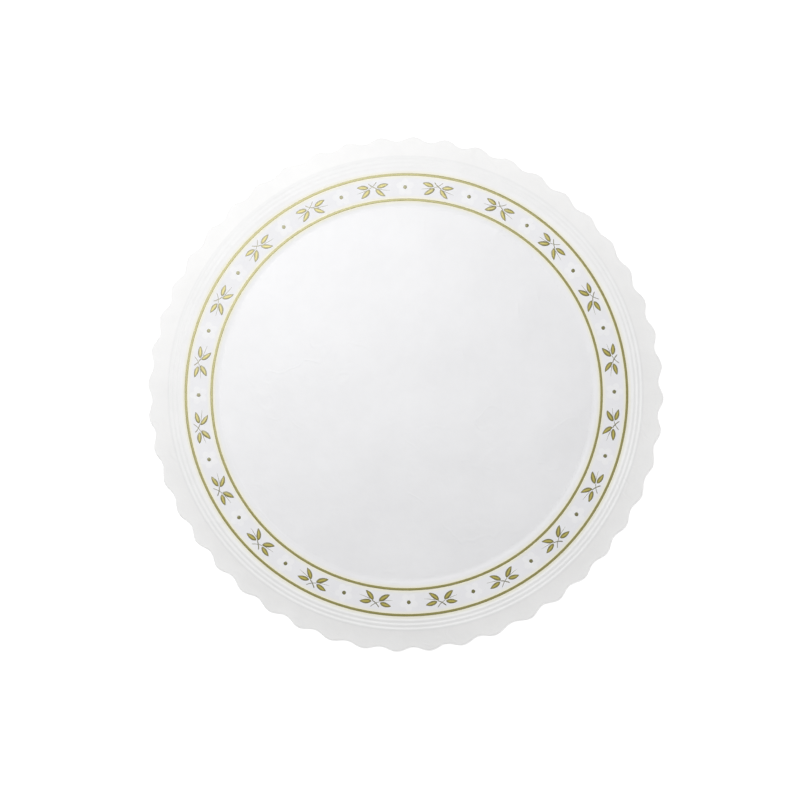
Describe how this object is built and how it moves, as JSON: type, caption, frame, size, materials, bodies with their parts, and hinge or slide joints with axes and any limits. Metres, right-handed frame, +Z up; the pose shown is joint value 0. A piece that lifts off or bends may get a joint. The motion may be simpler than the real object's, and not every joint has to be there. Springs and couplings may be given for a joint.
{
  "type": "cake board",
  "caption": "Round pressed paperboard cake board with a scalloped edge, fine rim ribs and a gold sprig border round a shallow recess.",
  "frame": {"origin": "centre of the flat underside, on the surface the board lies on", "axes": "+Z up out of the printed face, +X through the crest of one scallop"},
  "size_m": [0.3, 0.3, 0.002],
  "materials": {
    "board": "glossy white laminate with hot-stamped matt gold lines, sprigs and dots"
  },
  "bodies": {
    "root": {"board": "board"}
  },
  "joints": []
}
